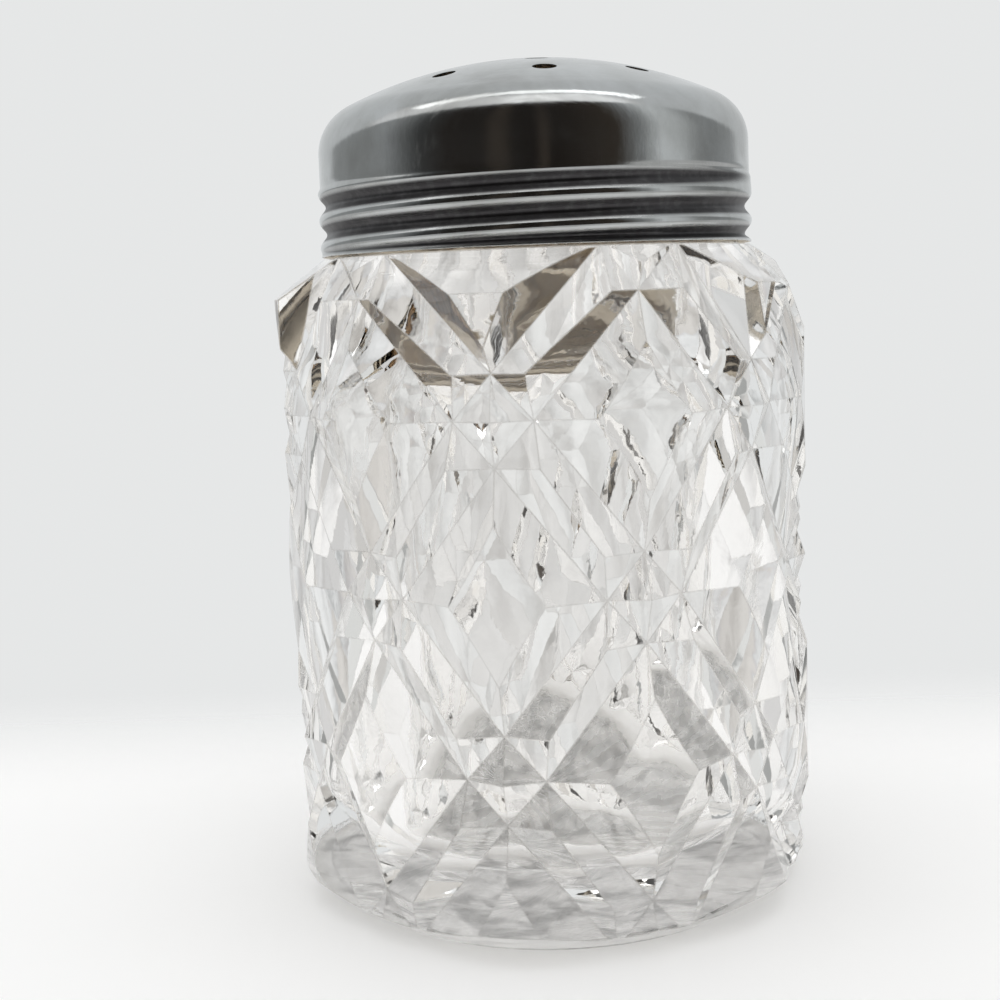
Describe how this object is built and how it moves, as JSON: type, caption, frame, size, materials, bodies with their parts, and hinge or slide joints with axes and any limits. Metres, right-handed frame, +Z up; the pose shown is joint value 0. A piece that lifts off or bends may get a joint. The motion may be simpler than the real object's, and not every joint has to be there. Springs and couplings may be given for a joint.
{
  "type": "sugar shaker with pierced screw cap",
  "caption": "Cut-glass sugar shaker: faceted jar with a threaded neck, a domed metal screw cap pierced with pouring holes, and a sealing ring.",
  "frame": {"origin": "centre of the flat base, on the surface that the shaker stands on", "axes": "+Z up along the axis of the jar and the cap, -Y towards the front"},
  "size_m": [0.072, 0.072, 0.1127],
  "materials": {
    "cut_glass": "polished, clear, mitre cut",
    "silver_plate": "polished silver plate, lightly tarnished and dented",
    "cork": "matt cork"
  },
  "bodies": {
    "jar": {"glass_jar": "cut_glass"},
    "seal": {"sealing_ring": "cork"},
    "cap": {"screw_cap": "silver_plate"}
  },
  "joints": [
    {"name": "cap_lift", "type": "slide", "parent": "jar", "child": "seal", "axis": [0, 0, 1], "range_m": [0, 0.009]},
    {"name": "cap_turn", "type": "hinge", "parent": "seal", "child": "cap", "pos_m": [0, 0, 0.1], "axis": [0, 0, 1], "range_deg": [0, 900]}
  ],
  "couplings": [
    {"joint": "cap_lift", "follows": "cap_turn", "m_per_rad": 0.00057296}
  ]
}
